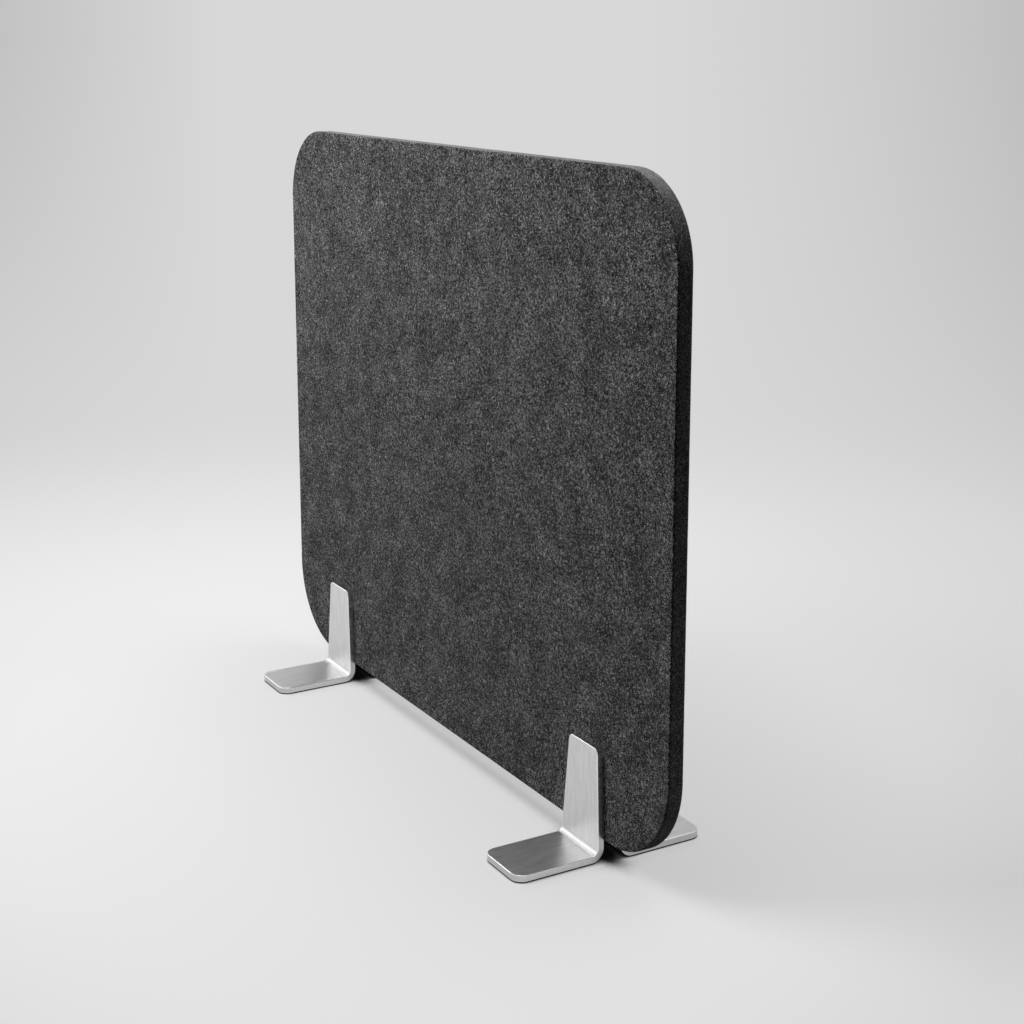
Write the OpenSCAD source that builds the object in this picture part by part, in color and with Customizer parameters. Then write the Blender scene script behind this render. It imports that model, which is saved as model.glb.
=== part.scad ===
// Desk divider screen: a felt board clamped between two pairs of bent metal feet.
// X runs along the board, +X to its right end, and -Y is its front face.
// The origin is on the table top, under the middle of the board.

/* [Board] */
// Length of the felt board
board_w = 600; // [420:10:1200]
// Height of the felt board
board_h = 472; // [260:2:700]
// Thickness of the felt board
board_t = 12; // [10:0.5:25]
// Radius of the board's two upper corners
top_r = 61; // [20:1:90]
// Radius of the board's two lower corners
bottom_r = 69; // [20:1:90]
// Gap between the board's lower edge and the table top
board_gap = 16; // [14:0.5:40]
// Width of the softened edge round the board
board_edge = 0.6; // [0.2:0.1:1.2]

/* [Feet] */
// Middle of the left front foot, from the board's left end
left_inset = 92; // [80:1:180]
// Middle of the right front foot, from the board's right end
right_inset = 100; // [80:1:180]
// Width of a foot plate and of its bend
foot_w = 48; // [40:1:80]
// Reach of a foot plate, from the board's face to the toe
foot_l = 71; // [50:1:120]
// Thickness of the bent metal
metal_t = 5; // [4:0.25:6]
// Inside radius of the bend
bend_r = 5; // [3:0.5:7]
// Radius of the two toe corners
toe_r = 9; // [3:0.5:15]
// Height of a blade above the board's lower edge
blade_lap = 68; // [60:1:120]
// How far a blade's left edge comes in between the bend and the top
blade_in_left = 9; // [2:0.5:10]
// How far a blade's right edge comes in between the bend and the top
blade_in_right = 2.5; // [0:0.5:10]
// Radius of a blade's two top corners
blade_r = 5; // [1:0.5:9]
// Width of the chamfer on the metal's edges
metal_edge = 0.6; // [0.2:0.1:0.9]

/* [Pads] */
// Thickness of a foot pad
pad_t = 0.8; // [0.5:0.1:2]
// Distance from a foot plate's edge to its pad
pad_inset = 4; // [1:0.5:10]
// Radius of a foot pad's corners
pad_r = 5; // [1:0.5:8]
// Width of the cut edge round a foot pad
pad_edge = 0.1; // [0.05:0.05:0.2]

/* [Fixings] */
// Height of the lower fixing above the board's lower edge
fixing_low = 18; // [14:1:22]
// Distance between the two fixings of a pair of feet
fixing_pitch = 28; // [16:1:32]
// Diameter of the screw thread
thread_d = 4; // [3:0.5:5]
// Length of the screw, from its flush head to its tip
screw_l = 14; // [12:1:17]
// Diameter of the screw head
head_d = 8; // [7:0.5:10]
// Height of the straight rim round the screw head
head_rim = 0.3; // [0.2:0.1:0.5]
// Width across the flats of the hexagon socket
socket_af = 2.5; // [2:0.5:3]
// Depth of the hexagon socket
socket_depth = 1.5; // [1:0.1:1.8]
// Chamfer at the screw's tip
tip_edge = 0.5; // [0.2:0.1:0.8]
// Outside diameter of the threaded barrel
barrel_d = 7; // [6.5:0.5:8.5]
// Diameter of the collar that is pressed into the front blade
collar_d = 9; // [9:0.5:12]
// Depth to which the collar is pressed in
collar_h = 3; // [2:0.25:3.25]
// Bare bore left beyond the screw's tip
tip_room = 1; // [0.5:0.25:1.5]

/* [Hidden] */

$fn = 72;

// Clearance round a barrel in the board and round a screw in a blade
slip = 0.25;
// Clearance drawn round a pressed collar, a screw head and a thread
press = 0.05;
// How far a cut runs past the surface that it opens
over = 1;

left_x = left_inset - board_w / 2;
right_x = board_w / 2 - right_inset;
face_y = board_t / 2;

// The bend turns about a line at this distance from the board's face and from the plate's underside
bend_out = bend_r + metal_t;
blade_foot = pad_t + bend_out;
blade_top = board_gap + blade_lap;

lower_z = board_gap + fixing_low;
upper_z = lower_z + fixing_pitch;

// A blade leans to one side, and its fixings stand in its middle, at the height half way between them.
// The feet of a pair are alike and share the fixings, so the rear one stands twice as far to that side.
aside_share = ((lower_z + upper_z) / 2 - blade_foot) / (blade_top - blade_foot);
aside = (blade_in_left - blade_in_right) / 2 * aside_share;
barrel_l = board_t - slip;
bore_d = thread_d + 2 * press;
bore_l = screw_l + tip_room - metal_t - slip;
sink_h = (head_d - thread_d) / 2;

// Section of a flat bar with chamfered edges, standing on the X axis
module bar_section(w, t, edge) {
    polygon([
        [edge - w / 2, 0], [w / 2 - edge, 0], [w / 2, edge], [w / 2, t - edge],
        [w / 2 - edge, t], [edge - w / 2, t], [-w / 2, t - edge], [-w / 2, edge]
    ]);
}

// Disc with chamfered edges, standing on the plane Z = 0
module disc(r, t, edge) {
    rotate_extrude()
        polygon([[0, 0], [r - edge, 0], [r, edge], [r, t - edge], [r - edge, t], [0, t]]);
}

// Rectangular slab with round corners and chamfered edges: two crossed bars and a disc at each corner
module rounded_slab(size, r, t, edge) {
    for (turned = [false, true]) {
        run = turned ? size.y : size.x;
        width = turned ? size.x : size.y;
        rotate([0, 0, turned ? 90 : 0])
            translate([r - run / 2, 0, 0])
                rotate([90, 0, 90])
                    linear_extrude(run - 2 * r) bar_section(width, t, edge);
    }
    for (x = [-1, 1], y = [-1, 1])
        translate([x * (size.x / 2 - r), y * (size.y / 2 - r), 0]) disc(r, t, edge);
}

// One half of the board, lying flat; its upper and lower corners differ, so each half has its own radius
module half_board(r, low) {
    intersection() {
        rounded_slab([board_w, board_h], r, board_t, board_edge);
        translate([-board_w, low, -over])
            cube([2 * board_w, board_h / 2, board_t + 2 * over]);
    }
}

module board() {
    translate([0, face_y, board_gap + board_h / 2])
        rotate([90, 0, 0])
            difference() {
                union() {
                    half_board(bottom_r, -board_h / 2);
                    half_board(top_r, 0);
                }
                for (x = [left_x, right_x], z = [lower_z, upper_z])
                    translate([x + aside, z - board_gap - board_h / 2, -over])
                        cylinder(d = barrel_d + 2 * slip, h = board_t + 2 * over);
            }
}

// Flat tongue of the bent metal: it grows along +Z from the bend's section on the plane Z = 0,
// its two sides come in by their own amounts, and it ends in two round corners
module tongue(length, in_low, in_high, r) {
    hull() {
        linear_extrude(metal_edge) bar_section(foot_w, metal_t, metal_edge);
        for (corner = [[-1, in_low], [1, in_high]]) {
            lean = atan2(corner[1], length);
            reach = foot_w / 2 - corner[1] * (length - r) / length - r / cos(lean);
            translate([corner[0] * reach, 0, length - r])
                rotate([-90, 0, 0]) disc(r, metal_t, metal_edge, $fn = 32);
        }
    }
}

// A bent foot stands against the plane Y = 0 with its toe towards +Y.
// Seen from the toe, its left side is towards +X.
module bent_foot() {
    translate([0, 0, blade_foot])
        tongue(blade_top - blade_foot, blade_in_right, blade_in_left, blade_r);
    translate([0, bend_out, blade_foot])
        rotate([90, 0, 90])
            rotate([0, 0, 180])
                rotate_extrude(angle = 90)
                    translate([bend_r, 0]) rotate(-90) bar_section(foot_w, metal_t, metal_edge);
    translate([0, bend_out, pad_t + metal_t])
        rotate([-90, 0, 0])
            tongue(foot_l - bend_out, 0, 0, toe_r);
}

// Places its children at both fixings, with their own Z pointing from the board to the toe
module at_fixings() {
    for (z = [lower_z, upper_z])
        translate([-aside, 0, z]) rotate([-90, 0, 0]) children();
}

// The front blade has blind pockets for the collars, and nothing shows on its outer face
module front_bracket() {
    difference() {
        bent_foot();
        at_fixings()
            translate([0, 0, -over])
                cylinder(d = collar_d + 2 * press, h = over + collar_h + press);
    }
}

// The rear blade has countersunk holes
module rear_bracket() {
    difference() {
        bent_foot();
        at_fixings() {
            translate([0, 0, -over])
                cylinder(d = thread_d + 2 * slip, h = metal_t + 2 * over);
            translate([0, 0, metal_t - head_rim - sink_h])
                cylinder(d1 = bore_d, d2 = head_d + 2 * press, h = sink_h);
            translate([0, 0, metal_t - head_rim])
                cylinder(d = head_d + 2 * press, h = head_rim + over);
        }
    }
}

module pad() {
    size = [foot_w - 2 * pad_inset, foot_l - pad_inset - bend_out];
    translate([0, bend_out + size.y / 2, 0]) rounded_slab(size, pad_r, pad_t, pad_edge);
}

// Threaded barrel, from the collar in the front blade to just short of the rear blade
module barrel() {
    difference() {
        union() {
            translate([0, 0, -collar_h]) cylinder(d = collar_d, h = collar_h);
            cylinder(d = barrel_d, h = barrel_l);
        }
        translate([0, 0, barrel_l - bore_l]) cylinder(d = bore_d, h = bore_l + over);
    }
}

// Countersunk screw, drawn from its flush head to its tip; the thread is drawn plain
module screw() {
    difference() {
        union() {
            cylinder(d = head_d, h = head_rim);
            translate([0, 0, head_rim]) cylinder(d1 = head_d, d2 = thread_d, h = sink_h);
            cylinder(d = thread_d, h = screw_l - tip_edge);
            translate([0, 0, screw_l - tip_edge])
                cylinder(d1 = thread_d, d2 = thread_d - 2 * tip_edge, h = tip_edge);
        }
        translate([0, 0, -over])
            cylinder(d = socket_af / cos(30), h = over + socket_depth, $fn = 6);
    }
}

// Where each kind of piece goes, from the middle of its front foot
module in_front(x) { translate([x, -face_y, 0]) rotate([0, 0, 180]) children(); }
module behind(x) { translate([x + 2 * aside, face_y, 0]) children(); }
module through_board(x, z) { translate([x + aside, -face_y, z]) rotate([-90, 0, 0]) children(); }
module from_rear(x, z) { translate([x + aside, face_y + metal_t, z]) rotate([90, 0, 0]) children(); }

module felt_board() { color("#3a3b3d") board(); }
module metal_front(x) { color("#c4c6c8") in_front(x) front_bracket(); }
module metal_rear(x) { color("#c4c6c8") behind(x) rear_bracket(); }
module pad_front(x) { color("#1b1b1c") in_front(x) pad(); }
module pad_rear(x) { color("#1b1b1c") behind(x) pad(); }
module steel_barrel(x, z) { color("#9b9ea1") through_board(x, z) barrel(); }
module steel_screw(x, z) { color("#8f9295") from_rear(x, z) screw(); }

felt_board();
metal_front(left_x);  // front_left_bracket
metal_front(right_x);  // front_right_bracket
metal_rear(left_x);  // rear_left_bracket
metal_rear(right_x);  // rear_right_bracket
pad_front(left_x);  // front_left_pad
pad_front(right_x);  // front_right_pad
pad_rear(left_x);  // rear_left_pad
pad_rear(right_x);  // rear_right_pad
steel_barrel(left_x, lower_z);  // left_lower_barrel
steel_barrel(left_x, upper_z);  // left_upper_barrel
steel_barrel(right_x, lower_z);  // right_lower_barrel
steel_barrel(right_x, upper_z);  // right_upper_barrel
steel_screw(left_x, lower_z);  // left_lower_screw
steel_screw(left_x, upper_z);  // left_upper_screw
steel_screw(right_x, lower_z);  // right_lower_screw
steel_screw(right_x, upper_z);  // right_upper_screw
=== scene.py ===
# Desk divider screen: a felt board held upright between two pairs of bent metal feet
import math

import bpy
import bmesh
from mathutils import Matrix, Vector, noise


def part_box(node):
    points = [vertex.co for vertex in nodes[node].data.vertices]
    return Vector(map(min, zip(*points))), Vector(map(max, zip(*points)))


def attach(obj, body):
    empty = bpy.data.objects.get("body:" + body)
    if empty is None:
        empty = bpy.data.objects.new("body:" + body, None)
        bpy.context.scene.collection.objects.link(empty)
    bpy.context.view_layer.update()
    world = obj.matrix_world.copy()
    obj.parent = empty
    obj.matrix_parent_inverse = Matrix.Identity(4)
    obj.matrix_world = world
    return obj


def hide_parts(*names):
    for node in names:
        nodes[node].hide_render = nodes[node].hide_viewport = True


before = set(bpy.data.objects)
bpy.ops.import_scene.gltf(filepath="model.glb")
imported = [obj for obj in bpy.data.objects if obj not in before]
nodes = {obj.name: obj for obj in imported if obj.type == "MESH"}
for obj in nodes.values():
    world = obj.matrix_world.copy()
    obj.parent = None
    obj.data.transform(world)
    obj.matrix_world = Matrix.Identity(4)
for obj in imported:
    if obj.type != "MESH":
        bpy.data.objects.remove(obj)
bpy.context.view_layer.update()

print("Frame loaded:", len(nodes), "nodes")


# Mesh helpers

def meshPiece(name, points, faces, materials):
    mesh = bpy.data.meshes.new(name)
    mesh.from_pydata(points, [], faces)
    build = bmesh.new()
    build.from_mesh(mesh)
    bmesh.ops.recalc_face_normals(build, faces=build.faces)
    build.to_mesh(mesh)
    build.free()
    for material in materials:
        mesh.materials.append(material)
    piece = bpy.data.objects.new(name, mesh)
    bpy.context.scene.collection.objects.link(piece)
    return piece


def applyAll(piece):
    # Replaces a piece's mesh by what its modifiers make of it
    graph = bpy.context.evaluated_depsgraph_get()
    made = bpy.data.meshes.new_from_object(piece.evaluated_get(graph))
    piece.modifiers.clear()
    piece.data = made


def smoothShade(piece, limit):
    # Edges that turn by more than the limit, in degrees, stay sharp
    build = bmesh.new()
    build.from_mesh(piece.data)
    for face in build.faces:
        face.smooth = True
    for edge in build.edges:
        edge.smooth = len(edge.link_faces) != 2 or edge.calc_face_angle() < math.radians(limit)
    build.to_mesh(piece.data)
    build.free()


def turnedTool(name, profile, origin, direction, steps=48):
    # A closed turned shape to cut with. profile lists (distance along the axis, radius)
    toAxis = Vector(direction).to_track_quat("Z", "Y")
    points, faces = [], []
    for along, radius in profile:
        for k in range(steps):
            turn = 2 * math.pi * k / steps
            local = Vector((radius * math.cos(turn), radius * math.sin(turn), along))
            points.append(Vector(origin) + toAxis @ local)
    for ring in range(len(profile) - 1):
        for k in range(steps):
            here, after = ring * steps + k, ring * steps + (k + 1) % steps
            faces.append((here, after, after + steps, here + steps))
    last = (len(profile) - 1) * steps
    faces.append(tuple(range(steps)))
    faces.append(tuple(range(last, last + steps)))
    return meshPiece(name, points, faces, [])


def cutWith(piece, tools):
    for tool in tools:
        modifier = piece.modifiers.new("cut", "BOOLEAN")
        modifier.operation = "DIFFERENCE"
        modifier.solver = "EXACT"
        modifier.object = tool
    applyAll(piece)
    for tool in tools:
        bpy.data.objects.remove(tool)


def softSheet(name, stations, across, thickness, edge, roundSteps, sideRows, place, materials):
    # A flat sheet with rounded edges. stations lists (along, low, high) from one end to the other,
    # place turns (along, across, depth) into a point of the frame. The materials are for the two faces,
    # the rounded edges and the cut sides
    count, width = len(stations), across + 1
    loop = [(i, 0) for i in range(count)]
    loop += [(count - 1, j) for j in range(1, width)]
    loop += [(i, width - 1) for i in range(count - 2, -1, -1)]
    loop += [(0, j) for j in range(width - 2, 0, -1)]

    def flat(i, j):
        along, low, high = stations[i]
        return Vector((along, low + (high - low) * j / across))

    outer = [flat(i, j) for i, j in loop]
    normals = []
    for k in range(len(loop)):
        run = outer[(k + 1) % len(loop)] - outer[k - 1]
        normals.append(Vector((run.y, -run.x)).normalized())
    inner = {key: outer[k] - normals[k] * edge for k, key in enumerate(loop)}

    points, faces = [], []

    def faceGrid(depth):
        grid = {}
        for i in range(count):
            start, end = inner[(i, 0)], inner[(i, across)]
            for j in range(width):
                spot = inner.get((i, j), start.lerp(end, j / across))
                grid[(i, j)] = len(points)
                points.append(place(spot.x, spot.y, depth))
        return grid

    front, back = faceGrid(0), faceGrid(thickness)
    for i in range(count - 1):
        for j in range(across):
            corners = [(i, j), (i + 1, j), (i + 1, j + 1), (i, j + 1)]
            faces.append([front[c] for c in corners])
            faces.append([back[c] for c in reversed(corners)])

    turns = [math.pi / 2 * k / roundSteps for k in range(1, roundSteps + 1)]
    profile = [(edge * (1 - math.sin(t)), edge * (1 - math.cos(t))) for t in turns]
    straight = thickness - 2 * edge
    profile += [(0, edge + straight * k / sideRows) for k in range(1, sideRows)]
    profile += [(inset, thickness - depth) for inset, depth in reversed(profile[:roundSteps])]
    rows = [[front[key] for key in loop]]
    for inset, depth in profile:
        rows.append([])
        for k in range(len(loop)):
            spot = outer[k] - normals[k] * inset
            rows[-1].append(len(points))
            points.append(place(spot.x, spot.y, depth))
    rows.append([back[key] for key in loop])
    rounded, sides = set(), set()
    for row, (upper, lower) in enumerate(zip(rows, rows[1:])):
        for k in range(len(loop)):
            nextOne = (k + 1) % len(loop)
            straightSide = roundSteps <= row < len(rows) - 1 - roundSteps
            (sides if straightSide else rounded).add(len(faces))
            faces.append([upper[k], upper[nextOne], lower[nextOne], lower[k]])
    sheet = meshPiece(name, points, faces, materials)
    for face in sheet.data.polygons:
        face.material_index = 1 if face.index in rounded else 2 if face.index in sides else 0
    return sheet


# Material helpers

def newMaterial(name):
    material = bpy.data.materials.new(name)
    material.use_nodes = True
    tree = material.node_tree
    tree.nodes.clear()
    return material, tree


def addNode(tree, kind, inputs=None, **settings):
    node = tree.nodes.new(kind)
    for key, value in settings.items():
        setattr(node, key, value)
    for key, value in (inputs or {}).items():
        if isinstance(value, bpy.types.NodeSocket):
            tree.links.new(value, node.inputs[key])
        else:
            node.inputs[key].default_value = value
    return node


def mathNode(tree, operation, first, second=0.0):
    return addNode(tree, "ShaderNodeMath", {0: first, 1: second}, operation=operation).outputs[0]


def product(tree, first, second):
    return mathNode(tree, "MULTIPLY", first, second)


def vectorNode(tree, operation, inputs):
    return addNode(tree, "ShaderNodeVectorMath", inputs, operation=operation).outputs


def remap(tree, value, fromLow, fromHigh, toLow, toHigh, kind="LINEAR"):
    sockets = {"Value": value, "From Min": fromLow, "From Max": fromHigh, "To Min": toLow, "To Max": toHigh}
    return addNode(tree, "ShaderNodeMapRange", sockets, interpolation_type=kind).outputs[0]


def smoothMap(tree, value, span, toLow=0, toHigh=1):
    return remap(tree, value, span[0], span[1], toLow, toHigh, "SMOOTHSTEP")


def noiseNode(tree, vector, scale, detail=2.0, rough=0.5):
    sockets = {"Vector": vector, "Scale": scale, "Detail": detail, "Roughness": rough}
    return addNode(tree, "ShaderNodeTexNoise", sockets)


def colourSteps(tree, value, steps):
    ramp = addNode(tree, "ShaderNodeValToRGB", {"Fac": value})
    while len(ramp.color_ramp.elements) < len(steps):
        ramp.color_ramp.elements.new(0.5)
    for element, (position, colour) in zip(ramp.color_ramp.elements, steps):
        element.position = position
        element.color = (*colour, 1)
    return ramp.outputs["Color"]


def stretchedNoise(tree, vector, turn, size, detail=1, rough=0.5):
    # Noise whose grains have a size along each axis, after a turn about Y
    sockets = {"Vector": vector, "Rotation": (0, turn, 0), "Scale": size}
    grains = addNode(tree, "ShaderNodeMapping", sockets, vector_type="TEXTURE").outputs[0]
    return noiseNode(tree, grains, 1, detail, rough).outputs["Fac"]


def objectPlace(tree):
    return addNode(tree, "ShaderNodeTexCoord").outputs["Object"]


def setSurface(tree, shader, kind="ShaderNodeOutputMaterial"):
    out = addNode(tree, kind)
    tree.links.new(shader.outputs[0], out.inputs["Surface"])


# Felt

feltLook = {
    "clumpLength": 0.0036,
    "clumpWidth": 0.0005,
    "clumpContrast": 14.0,
    "strandLength": 0.005,
    "strandWidth": 0.00022,
    "strandContrast": 9.0,
    "cloudSize": 0.02,
    "cloudContrast": 2.8,
    "bendSize": 0.011,
    "bendReach": 0.006,
    "tone": 0.0306,
    "relief": 0.0003,
    "sheen": 0.10,
    "cutSheen": 0.80,
    "cutShade": 0.8,
    "directions": 4,
    "clumpTurn": 0.35,
    "strandTurn": 0.85,
    "cloudDetail": 3,
    "cloudRough": 0.6,
    "palest": 0.5,
    "bump": 0.3,
    "roughness": 0.95,
    "specular": 0.03,
    "sheenRoughness": 0.5,
    "sheenTint": (0.62, 0.62, 0.63, 1),
}


def strandLayers(tree, vector, length, width, offset):
    # Long narrow noise in several directions, as one value about 0 that keeps bright and dark strands
    highest, lowest = None, None
    count = feltLook["directions"]
    for k in range(count):
        turn = math.pi * (k + offset) / count
        layer = stretchedNoise(tree, vector, turn, (length, width, width))
        highest = layer if highest is None else mathNode(tree, "MAXIMUM", highest, layer)
        lowest = layer if lowest is None else mathNode(tree, "MINIMUM", lowest, layer)
    return mathNode(tree, "SUBTRACT", mathNode(tree, "ADD", highest, lowest), 1.0)


def feltMaterial(name, shade, sheen):
    look = feltLook
    material, tree = newMaterial(name)
    where = objectPlace(tree)
    bend = noiseNode(tree, where, 1 / look["bendSize"], 1).outputs["Color"]
    centred = vectorNode(tree, "SUBTRACT", {0: bend, 1: (0.5, 0.5, 0.5)})[0]
    shift = vectorNode(tree, "SCALE", {0: centred, "Scale": look["bendReach"]})[0]
    wavy = vectorNode(tree, "ADD", {0: where, 1: shift})[0]
    clumps = strandLayers(tree, wavy, look["clumpLength"], look["clumpWidth"], look["clumpTurn"])
    strands = strandLayers(tree, wavy, look["strandLength"], look["strandWidth"], look["strandTurn"])
    cloud = noiseNode(tree, where, 1 / look["cloudSize"], look["cloudDetail"], look["cloudRough"])
    clumpPart = product(tree, clumps, look["clumpContrast"])
    strandPart = product(tree, strands, look["strandContrast"])
    cloudPart = product(tree, mathNode(tree, "SUBTRACT", cloud.outputs["Fac"], 0.5), look["cloudContrast"])
    relief = mathNode(tree, "ADD", clumpPart, strandPart)
    tone = mathNode(tree, "EXPONENT", mathNode(tree, "ADD", relief, cloudPart))
    albedo = mathNode(tree, "MINIMUM", product(tree, tone, look["tone"] * shade), look["palest"])
    bump = addNode(tree, "ShaderNodeBump", {
        "Strength": look["bump"], "Distance": look["relief"], "Height": relief})
    setSurface(tree, addNode(tree, "ShaderNodeBsdfPrincipled", {
        "Base Color": albedo, "Roughness": look["roughness"], "Specular IOR Level": look["specular"],
        "Sheen Weight": sheen, "Sheen Roughness": look["sheenRoughness"], "Sheen Tint": look["sheenTint"],
        "Normal": bump.outputs["Normal"]}))
    return material


# Metal, rubber and steel

brush = {
    "lineDetail": 3,
    "lineRough": 0.65,
    "bandDetail": 2,
    "lineShare": 0.45,
    "bandShare": 0.55,
    "toneSpan": (0.3, 0.7),
    "cloudScale": 55,
    "cloudShare": 0.3,
    "wearSpan": (0.4, 0.9),
    "grooveDepth": 0.00002,
}


def brushedMaterial(name, look):
    material, tree = newMaterial(name)
    where = objectPlace(tree)
    lines = stretchedNoise(tree, where, 0, look["lineSize"], brush["lineDetail"], brush["lineRough"])
    bands = stretchedNoise(tree, where, 0, look["bandSize"], brush["bandDetail"])
    cloud = noiseNode(tree, where, brush["cloudScale"], 2).outputs["Fac"]
    linePart = product(tree, lines, brush["lineShare"])
    tone = mathNode(tree, "ADD", linePart, product(tree, bands, brush["bandShare"]))
    grooves = mathNode(tree, "ADD", lines, product(tree, bands, look["bandRelief"]))
    darkAt, paleAt = brush["toneSpan"]
    colour = colourSteps(tree, tone, [(darkAt, look["dark"]), (paleAt, look["pale"])])
    wear = mathNode(tree, "ADD", tone, product(tree, cloud, brush["cloudShare"]))
    rough = remap(tree, wear, *brush["wearSpan"], look["roughLow"], look["roughHigh"])
    bump = addNode(tree, "ShaderNodeBump", {
        "Strength": look["bump"], "Distance": brush["grooveDepth"], "Height": grooves})
    setSurface(tree, addNode(tree, "ShaderNodeBsdfPrincipled", {
        "Base Color": colour, "Metallic": 1.0, "Roughness": rough, "Normal": bump.outputs["Normal"]}))
    return material


rubberLook = {
    "fineScale": 2400,
    "wornScale": 160,
    "steps": [(0.35, (0.012, 0.012, 0.012)), (0.7, (0.03, 0.03, 0.031))],
    "bump": 0.4,
    "relief": 0.00005,
    "roughness": 0.8,
    "specular": 0.3,
}


def rubberMaterial():
    look = rubberLook
    material, tree = newMaterial("rubber")
    where = objectPlace(tree)
    fine = noiseNode(tree, where, look["fineScale"], 2).outputs["Fac"]
    worn = noiseNode(tree, where, look["wornScale"], 3).outputs["Fac"]
    colour = colourSteps(tree, worn, look["steps"])
    bump = addNode(tree, "ShaderNodeBump", {
        "Strength": look["bump"], "Distance": look["relief"], "Height": fine})
    setSurface(tree, addNode(tree, "ShaderNodeBsdfPrincipled", {
        "Base Color": colour, "Roughness": look["roughness"], "Specular IOR Level": look["specular"],
        "Normal": bump.outputs["Normal"]}))
    return material


# The sizes of lines and bands are (x, y, z). On a foot's faces they run from toe to blade, so they are
# narrow in X only. On its cut sides they lie level
metalLook = {
    "lineSize": (0.00026, 0.011, 0.011), "bandSize": (0.0008, 0.02, 0.02), "bandRelief": 3.5,
    "dark": (0.59, 0.592, 0.594), "pale": (0.85, 0.852, 0.854),
    "roughLow": 0.35, "roughHigh": 0.48, "bump": 0.45,
}
edgeLook = {
    "lineSize": (0.0012, 0.0012, 0.0012), "bandSize": (0.006, 0.006, 0.006), "bandRelief": 0.0,
    "dark": (0.88, 0.882, 0.884), "pale": (0.97, 0.97, 0.97),
    "roughLow": 0.34, "roughHigh": 0.42, "bump": 0.05,
}
cutLook = {
    "lineSize": (0.012, 0.012, 0.0006), "bandSize": (0.03, 0.03, 0.0015), "bandRelief": 0.0,
    "dark": (0.54, 0.542, 0.544), "pale": (0.62, 0.622, 0.624),
    "roughLow": 0.25, "roughHigh": 0.31, "bump": 0.12,
}
steelLook = {
    "lineSize": (0.0002, 0.001, 0.001), "bandSize": (0.001, 0.003, 0.003), "bandRelief": 0.0,
    "dark": (0.42, 0.423, 0.426), "pale": (0.60, 0.603, 0.607),
    "roughLow": 0.22, "roughHigh": 0.38, "bump": 0.3,
}
feltFace = feltMaterial("felt", 1.0, feltLook["sheen"])
feltCut = feltMaterial("feltCutEdge", feltLook["cutShade"], feltLook["cutSheen"])
metal = brushedMaterial("brushedMetal", metalLook)
metalEdge = brushedMaterial("deburredEdge", edgeLook)
metalCut = brushedMaterial("cutSide", cutLook)
steel = brushedMaterial("fixingSteel", steelLook)
rubber = rubberMaterial()
print("Materials made")


# Felt board

boardShape = {
    "upperRadius": 0.061,
    "lowerRadius": 0.069,
    "edge": 0.001,
    "pitch": 0.003,
    "wave": 0.00012,
    "cutWave": 0.0001,
    "boreUndersize": 0.00075,
    "cornerSteps": 26,
    "edgeSteps": 3,
    "sideRows": 5,
    "waveScale": 60,
    "cutScale": 420,
    "cutStart": 0.02,
    "faceLimit": 0.35,
    "sharpFrom": 50,
}


def cornerDrop(radius, reach):
    # How far a round corner lies below its edge, at a distance from the side
    left = max(radius - reach, 0)
    return radius - math.sqrt(radius * radius - left * left)


def boardStations(low, high):
    shape = boardShape
    widest = max(shape["upperRadius"], shape["lowerRadius"])
    steps = shape["cornerSteps"]
    turns = [math.pi / 2 * k / steps for k in range(steps + 1)]
    near = [widest * (1 - math.cos(t)) for t in turns]
    length = high.x - low.x
    middle = round((length - 2 * widest) / shape["pitch"])
    places = near + [widest + (length - 2 * widest) * k / middle for k in range(1, middle)]
    places += [length - reach for reach in reversed(near)]
    stations = []
    for place in places:
        reach = min(place, length - place)
        bottom = low.z + cornerDrop(shape["lowerRadius"], reach)
        top = high.z - cornerDrop(shape["upperRadius"], reach)
        stations.append((low.x + place, bottom, top))
    return stations


def feltBoard():
    shape = boardShape
    low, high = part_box("felt_board")
    thickness = high.y - low.y

    def place(along, across, depth):
        return Vector((along, low.y + depth, across))

    rows = round((high.z - low.z) / shape["pitch"])
    stations = boardStations(low, high)
    detail = (shape["edge"], shape["edgeSteps"], shape["sideRows"])
    board = softSheet("feltBoard", stations, rows, thickness, *detail, place, [feltFace, feltCut])
    middle = (low.z + high.z) / 2
    for vertex in board.data.vertices:
        spot = vertex.co
        inward = min(spot.y - low.y, high.y - spot.y) / thickness
        side = 1 if spot.y > 0 else -1
        lift = noise.fractal(spot * shape["waveScale"], 1.0, 2.0, 3) * shape["wave"]
        spot.y -= side * abs(lift)
        if inward > shape["cutStart"]:
            outward = Vector((spot.x, 0, spot.z - middle)).normalized()
            spot -= outward * abs(noise.noise(spot * shape["cutScale"])) * shape["cutWave"]
    for face in board.data.polygons:
        face.material_index = 0 if abs(face.normal.y) > shape["faceLimit"] else 1
    tools = []
    for name in [n for n in nodes if n.endswith("_barrel")]:
        first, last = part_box(name)
        centre = (first + last) / 2
        radius = (last.x - first.x) / 2 - shape["boreUndersize"]
        profile = [(0, radius), (3 * thickness, radius)]
        tools.append(turnedTool("borer", profile, (centre.x, low.y - thickness, centre.z), (0, 1, 0)))
    cutWith(board, tools)
    smoothShade(board, shape["sharpFrom"])
    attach(board, "root")
    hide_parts("felt_board")
    return board


board = feltBoard()
print("Felt board made:", len(board.data.polygons), "faces")


# Bent feet

footShape = {
    "metal": 0.005,
    "bendRadius": 0.005,
    "toeRadius": 0.009,
    "bladeRadius": 0.005,
    "bladeInLeft": 0.009,
    "bladeInRight": 0.0025,
    "edge": 0.0006,
    "seatDepth": 0.003,
    "headRim": 0.0003,
    "sink": 0.002,
    "screwRoom": 0.00005,
    "pitch": 0.004,
    "tipSteps": 12,
    "bendSteps": 24,
    "across": 12,
    "edgeSteps": 4,
    "sideRows": 3,
    "sharpFrom": 40,
}


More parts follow.
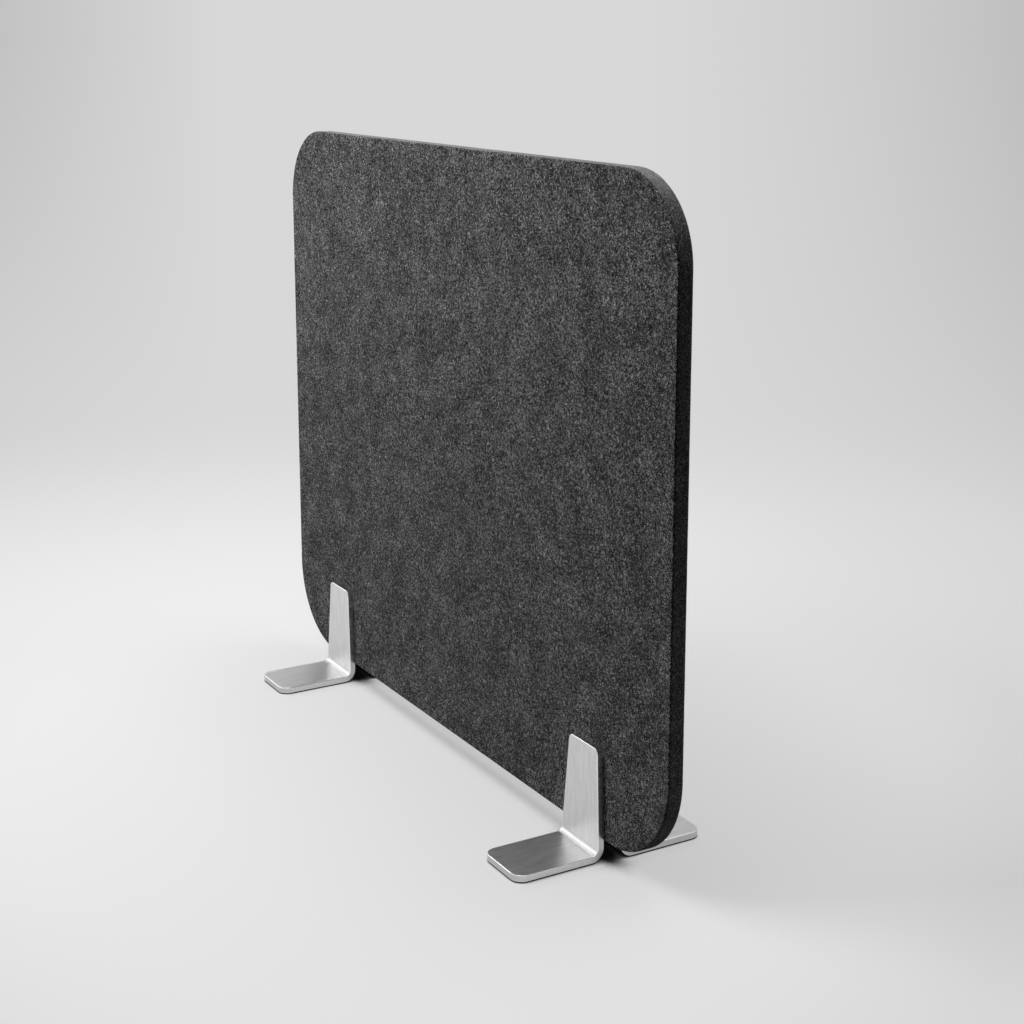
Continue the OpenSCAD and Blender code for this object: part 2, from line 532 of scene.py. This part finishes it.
def tongueWidth(reach, length, half, comesIn, radius):
    # Half width of a tongue at a distance from its root, with a round corner at its end
    lean = math.atan2(comesIn, length)
    centreAlong = length - radius
    centreAcross = half - comesIn * centreAlong / length - radius / math.cos(lean)
    if reach <= centreAlong + radius * math.sin(lean):
        return half - comesIn * reach / length
    rise = min(reach - centreAlong, radius)
    return centreAcross + math.sqrt(radius * radius - rise * rise)


def tongueReaches(length, radius):
    straight = length - radius
    steps = max(2, round(straight / footShape["pitch"]))
    tip = footShape["tipSteps"]
    reaches = [straight * k / steps for k in range(steps + 1)]
    return reaches + [straight + radius * math.sin(math.pi / 2 * k / tip) for k in range(1, tip + 1)]


def bentFoot(name, node, facing):
    # facing is -1 for a toe towards the front and 1 for one towards the rear
    shape = footShape
    low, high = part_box(node)
    half = (high.x - low.x) / 2
    middle = (high.x + low.x) / 2
    bendOut = shape["bendRadius"] + shape["metal"]
    faceY = high.y if facing < 0 else low.y
    plate = (high.y - low.y) - bendOut
    blade = (high.z - low.z) - bendOut
    neutral = bendOut - shape["metal"] / 2
    arc = neutral * math.pi / 2
    stations = []
    for reach in reversed(tongueReaches(plate, shape["toeRadius"])):
        wide = tongueWidth(reach, plate, half, 0, shape["toeRadius"])
        stations.append((-reach, -wide, wide))
    bend = shape["bendSteps"]
    stations += [(arc * k / bend, -half, half) for k in range(1, bend)]
    for reach in tongueReaches(blade, shape["bladeRadius"]):
        left = tongueWidth(reach, blade, half, shape["bladeInLeft"], shape["bladeRadius"])
        right = tongueWidth(reach, blade, half, shape["bladeInRight"], shape["bladeRadius"])
        stations.append((arc + reach, -right, left))

    def place(along, across, depth):
        # depth runs from the plate's top and the blade's outer face into the metal
        ring = shape["bendRadius"] + depth
        if along <= 0:
            y, z = bendOut - along, bendOut - ring
        elif along < arc:
            turn = along / neutral
            y, z = bendOut - ring * math.sin(turn), bendOut - ring * math.cos(turn)
        else:
            y, z = bendOut - ring, bendOut + along - arc
        return Vector((middle + facing * across, faceY + facing * y, low.z + z))

    detail = (shape["edge"], shape["edgeSteps"], shape["sideRows"])
    finishes = [metal, metalEdge, metalCut]
    foot = softSheet(name, stations, shape["across"], shape["metal"], *detail, place, finishes)
    return foot, faceY


def fitPocket(foot, side, facing, faceY):
    # Blind seats for the collars in a front foot, countersunk holes for the screws in a rear one
    shape = footShape
    tools = []
    for level in ("lower", "upper"):
        barrelLow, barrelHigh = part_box(f"{side}_{level}_barrel")
        screwLow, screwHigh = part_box(f"{side}_{level}_screw")
        centre = (barrelLow + barrelHigh) / 2
        room = shape["screwRoom"]
        if facing < 0:
            radius = (barrelHigh.x - barrelLow.x) / 2 + room
            profile = [(-shape["metal"], radius), (shape["seatDepth"] + room, radius)]
        else:
            head = (screwHigh.x - screwLow.x) / 2 + room
            neck = head - shape["sink"]
            bottom = shape["metal"] - shape["headRim"] - shape["sink"]
            rim = shape["metal"] - shape["headRim"]
            profile = [(-shape["metal"], neck), (bottom, neck), (rim, head), (2 * shape["metal"], head)]
        tools.append(turnedTool("cutter", profile, (centre.x, faceY, centre.z), (0, facing, 0)))
    cutWith(foot, tools)


feet = []
for row, facing in (("front", -1), ("rear", 1)):
    for side in ("left", "right"):
        node = f"{row}_{side}_bracket"
        foot, faceY = bentFoot(row + side.capitalize() + "Foot", node, facing)
        fitPocket(foot, side, facing, faceY)
        smoothShade(foot, footShape["sharpFrom"])
        weighted = foot.modifiers.new("evenNormals", "WEIGHTED_NORMAL")
        weighted.keep_sharp = True
        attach(foot, "root")
        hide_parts(node)
        feet.append(foot)
print("Feet made:", sum(len(foot.data.polygons) for foot in feet), "faces")


# Pads, barrels and screws keep their solids and get their finish

for name, node in nodes.items():
    finish = rubber if name.endswith("_pad") else steel if name.endswith(("_barrel", "_screw")) else None
    if finish:
        node.data.materials.clear()
        node.data.materials.append(finish)
print("Small parts finished")


# Stage

stageLook = {
    "floorRadius": 60.0,
    "lit": 0.28,
    "bounce": 0.02,
    "sideBounce": 0.5,
    "glow": 0.505,
    # How far the floor's painted shade reaches, in metres: between the feet, under the board, beside and
    # under a foot, and around the board
    "betweenFeet": 0.030,
    "underBoard": 0.020,
    "besideFoot": 0.008,
    "underFoot": 0.003,
    "aroundBoard": 0.22,
    "sweepStart": 0.35,
    "sweepEnd": 1.45,
    "front": (1.18, -0.64),
    "behind": (-0.8849, 0.4658),
    "leftward": (-0.504, -0.8637),
    # The backdrop's glow, palest behind the object, with a painted fall-off of light to the sides and
    # upwards
    "backdropPale": 0.685,
    "backdropDark": 0.51,
    "backdropHigh": 0.50,
    "rightSpan": (0.9936, 0.9455),
    "leftSpan": (0.16, 0.30),
    "horizonPace": 0.8,
    "nearestFar": 0.1,
    # The floor's glow gets painted shade to the right of the object
    "rightShade": 0.12,
    "rightShadeSpan": (0.33, 0.5),
    "backdropHeights": (0.05, 0.5),
    "ambient": 0.02,
    "rearAmbient": 0.42,
    "rearLight": (-0.6, 0.75, 0.28),
    "rearSpan": (0.1, 1.0),
    "thinSpan": (0.3, 0.75),
    "lowLeast": 0.05,
    "underSpan": (0.52, 0.90),
    "tunnelSpan": (0.16, 0.56),
    "wideSpan": (0.4, 1),
    "wideShade": 0.87,
    "litSpan": (0, 0.8),
    "litLeast": 0.3,
    "besideSpan": (0.30, 0.34),
    "rearFloor": (0.0, 0.02),
    "closeSpan": (0.42, 0.68),
    "creviceSamples": 8,
    "diffuseRough": 0.5,
    "floorSteps": 96,
}


def seenRays(tree):
    # 1 for a ray from the camera, a reflection or through glass, else 0
    path = addNode(tree, "ShaderNodeLightPath").outputs
    either = mathNode(tree, "MAXIMUM", path["Is Camera Ray"], path["Is Glossy Ray"])
    return mathNode(tree, "MAXIMUM", either, path["Is Transmission Ray"])


def glowing(tree, strength):
    return addNode(tree, "ShaderNodeEmission", {"Color": (1, 1, 1, 1), "Strength": strength}).outputs[0]


def matt(tree, colour):
    sockets = {"Color": colour, "Roughness": stageLook["diffuseRough"]}
    return addNode(tree, "ShaderNodeBsdfDiffuse", sockets).outputs[0]


def crevice(tree, reach):
    samples = stageLook["creviceSamples"]
    return addNode(tree, "ShaderNodeAmbientOcclusion", {"Distance": reach}, samples=samples).outputs["AO"]


def besides(tree, where):
    # How far a direction lies to the right and to the left of the one that runs behind the object, 0 to 1
    look = stageLook
    flat = vectorNode(tree, "MULTIPLY", {0: where, 1: (1, 1, 0)})[0]
    bearing = vectorNode(tree, "NORMALIZE", {0: flat})[0]
    facing = vectorNode(tree, "DOT_PRODUCT", {0: bearing, 1: (*look["behind"], 0)})["Value"]
    left = vectorNode(tree, "DOT_PRODUCT", {0: bearing, 1: (*look["leftward"], 0)})["Value"]
    onRight = remap(tree, facing, *look["rightSpan"], 0, 1)
    return onRight, remap(tree, left, *look["leftSpan"], 0, 1)


def backdropLevel(tree, aside, far):
    # The backdrop's glow is palest behind the object, with a painted fall-off of light to the sides. far
    # runs from 0 near the object to 1 at the horizon
    look = stageLook
    right, left = aside
    wide = product(tree, mathNode(tree, "MAXIMUM", right, product(tree, left, far)), far)
    return remap(tree, wide, 0, 1, look["backdropPale"], look["backdropDark"])


def floorShades(tree):
    # Painted shade on the floor: how open the floor lies, from 0 in the darkest places to 1, and its colour
    # under the lights
    look = stageLook
    tall = crevice(tree, look["underBoard"])
    low = crevice(tree, look["besideFoot"])
    thin = smoothMap(tree, crevice(tree, look["underFoot"]), look["thinSpan"])
    # Only what the dark board covers is shaded, as the pale metal throws light back beside the feet
    covered = mathNode(tree, "DIVIDE", tall, mathNode(tree, "MAXIMUM", low, look["lowLeast"]))
    under = smoothMap(tree, covered, look["underSpan"])
    tunnel = smoothMap(tree, crevice(tree, look["betweenFeet"]), look["tunnelSpan"])
    wide = remap(tree, crevice(tree, look["aroundBoard"]), *look["wideSpan"], look["wideShade"], 1)
    shade = product(tree, product(tree, under, tunnel), product(tree, thin, wide))
    # The colour under the lights gets painted shade too, between the feet and at the plates' edges
    shadedLitColour = smoothMap(tree, tunnel, look["litSpan"], look["lit"] * look["litLeast"], look["lit"])
    return shade, product(tree, shadedLitColour, thin)


def thrownLight(tree, where, distance):
    # Beside and behind the board the floor throws its light back onto the board's ends
    look = stageLook
    place = addNode(tree, "ShaderNodeSeparateXYZ", {0: where}).outputs
    aside = mathNode(tree, "ABSOLUTE", place["X"])
    beside = smoothMap(tree, aside, look["besideSpan"], 0, look["sideBounce"])
    rear = smoothMap(tree, place["Y"], look["rearFloor"])
    close = smoothMap(tree, distance, look["closeSpan"], 1, 0)
    return glowing(tree, product(tree, product(tree, beside, rear), close))


def stageFloor():
    look = stageLook
    material, tree = newMaterial("floor")
    where = objectPlace(tree)
    distance = vectorNode(tree, "LENGTH", {0: where})["Value"]
    shade, colour = floorShades(tree)
    # The floor's painted fall-off of light to both sides is measured from a place in front of the object,
    # about where the camera stands
    aside = besides(tree, vectorNode(tree, "SUBTRACT", {0: where, 1: (*look["front"], 0)})[0])
    # Painted shade: the floor's glow dims to the right of the object
    dimmed = smoothMap(tree, distance, look["rightShadeSpan"], 0, look["rightShade"])
    shade = product(tree, shade, mathNode(tree, "SUBTRACT", 1, product(tree, aside[0], dimmed)))
    shadedGlow = glowing(tree, product(tree, shade, look["glow"]))
    near = addNode(tree, "ShaderNodeAddShader", {0: matt(tree, colour), 1: shadedGlow}).outputs[0]
    away = mathNode(tree, "SUBTRACT", 1, mathNode(tree, "DIVIDE", look["horizonPace"], distance))
    away = mathNode(tree, "MAXIMUM", away, look["nearestFar"])
    far = glowing(tree, backdropLevel(tree, aside, away))
    beyond = smoothMap(tree, distance, (look["sweepStart"], look["sweepEnd"]))
    shown = addNode(tree, "ShaderNodeMixShader", {0: beyond, 1: near, 2: far}).outputs[0]
    plain = matt(tree, (look["bounce"],) * 3 + (1,))
    thrown = thrownLight(tree, where, distance)
    unseen = addNode(tree, "ShaderNodeAddShader", {0: plain, 1: thrown}).outputs[0]
    setSurface(tree, addNode(tree, "ShaderNodeMixShader", {0: seenRays(tree), 1: unseen, 2: shown}))
    radius, steps = look["floorRadius"], look["floorSteps"]
    turns = [2 * math.pi * k / steps for k in range(steps)]
    points = [(radius * math.cos(turn), radius * math.sin(turn), 0) for turn in turns]
    floor = meshPiece("floor", points, [tuple(range(steps))], [material])


def studioWorld():
    look = stageLook
    world = bpy.data.worlds.new("studio")
    bpy.context.scene.world = world
    world.use_nodes = True
    tree = world.node_tree
    tree.nodes.clear()
    where = addNode(tree, "ShaderNodeTexCoord").outputs["Generated"]
    rear = vectorNode(tree, "DOT_PRODUCT", {0: where, 1: look["rearLight"]})["Value"]
    ambient = smoothMap(tree, rear, look["rearSpan"], look["ambient"], look["rearAmbient"])
    height = addNode(tree, "ShaderNodeSeparateXYZ", {0: where}).outputs["Z"]
    above = smoothMap(tree, height, look["backdropHeights"])
    # The backdrop's glow gets the painted fall-off of light to the sides, and dims higher up
    behind = backdropLevel(tree, besides(tree, where), 1)
    wall = addNode(tree, "ShaderNodeMix", {0: above, 2: behind, 3: look["backdropHigh"]}).outputs[0]
    level = addNode(tree, "ShaderNodeMix", {0: seenRays(tree), 2: ambient, 3: wall}).outputs[0]
    sky = addNode(tree, "ShaderNodeBackground", {"Color": (1, 1, 1, 1), "Strength": level})
    setSurface(tree, sky, "ShaderNodeOutputWorld")


def softBox(name, box):
    # The size is (width, height). hidden keeps it out of reflections
    light = bpy.data.lights.new(name, "AREA")
    light.shape = "RECTANGLE"
    light.size, light.size_y = box["size"]
    light.energy = box["power"]
    lamp = bpy.data.objects.new(name, light)
    lamp.location = box["place"]
    aim = Vector(box["target"]) - Vector(box["place"])
    lamp.rotation_euler = aim.to_track_quat("-Z", "Y").to_euler()
    lamp.visible_camera = False
    lamp.visible_glossy = not box.get("hidden", False)
    bpy.context.scene.collection.objects.link(lamp)


softBoxes = {
    "keyLight": {
        "place": (-0.45, -0.74, 1.35), "target": (-0.2, 0, 0.4), "size": (0.85, 0.85),
        "power": 22, "hidden": True},
    "frontCard": {
        "place": (-1.75, -1.15, 0.95), "target": (0, 0, 0.1), "size": (1.5, 1.2), "power": 10},
    "sideStrip": {
        "place": (-1.6, 0.0, 1.5), "target": (0, 0, 0.1), "size": (0.3, 0.55), "power": 3.2},
    "overheadLight": {
        "place": (0.15, 0.2, 2.3), "target": (0.05, 0, 0.2), "size": (1.0, 1.8), "power": 25},
}
stageFloor()
studioWorld()
for name, box in softBoxes.items():
    softBox(name, box)

cameraView = {
    "place": (1.1836, -0.6408, 0.5726),
    "heading": 149.74,
    "tilt": -11.46,
    "lens": 61.87,
    "shift": -0.12,
}
lens = bpy.data.cameras.new("photoCamera")
lens.lens = cameraView["lens"]
lens.sensor_width = 36
lens.shift_y = cameraView["shift"]
camera = bpy.data.objects.new("photoCamera", lens)
camera.location = cameraView["place"]
camera.rotation_euler = (math.radians(90 + cameraView["tilt"]), 0, math.radians(cameraView["heading"] - 90))
bpy.context.scene.collection.objects.link(camera)
bpy.context.scene.camera = camera
bpy.context.scene.view_settings.view_transform = "Standard"
print("Stage, lights and camera set")
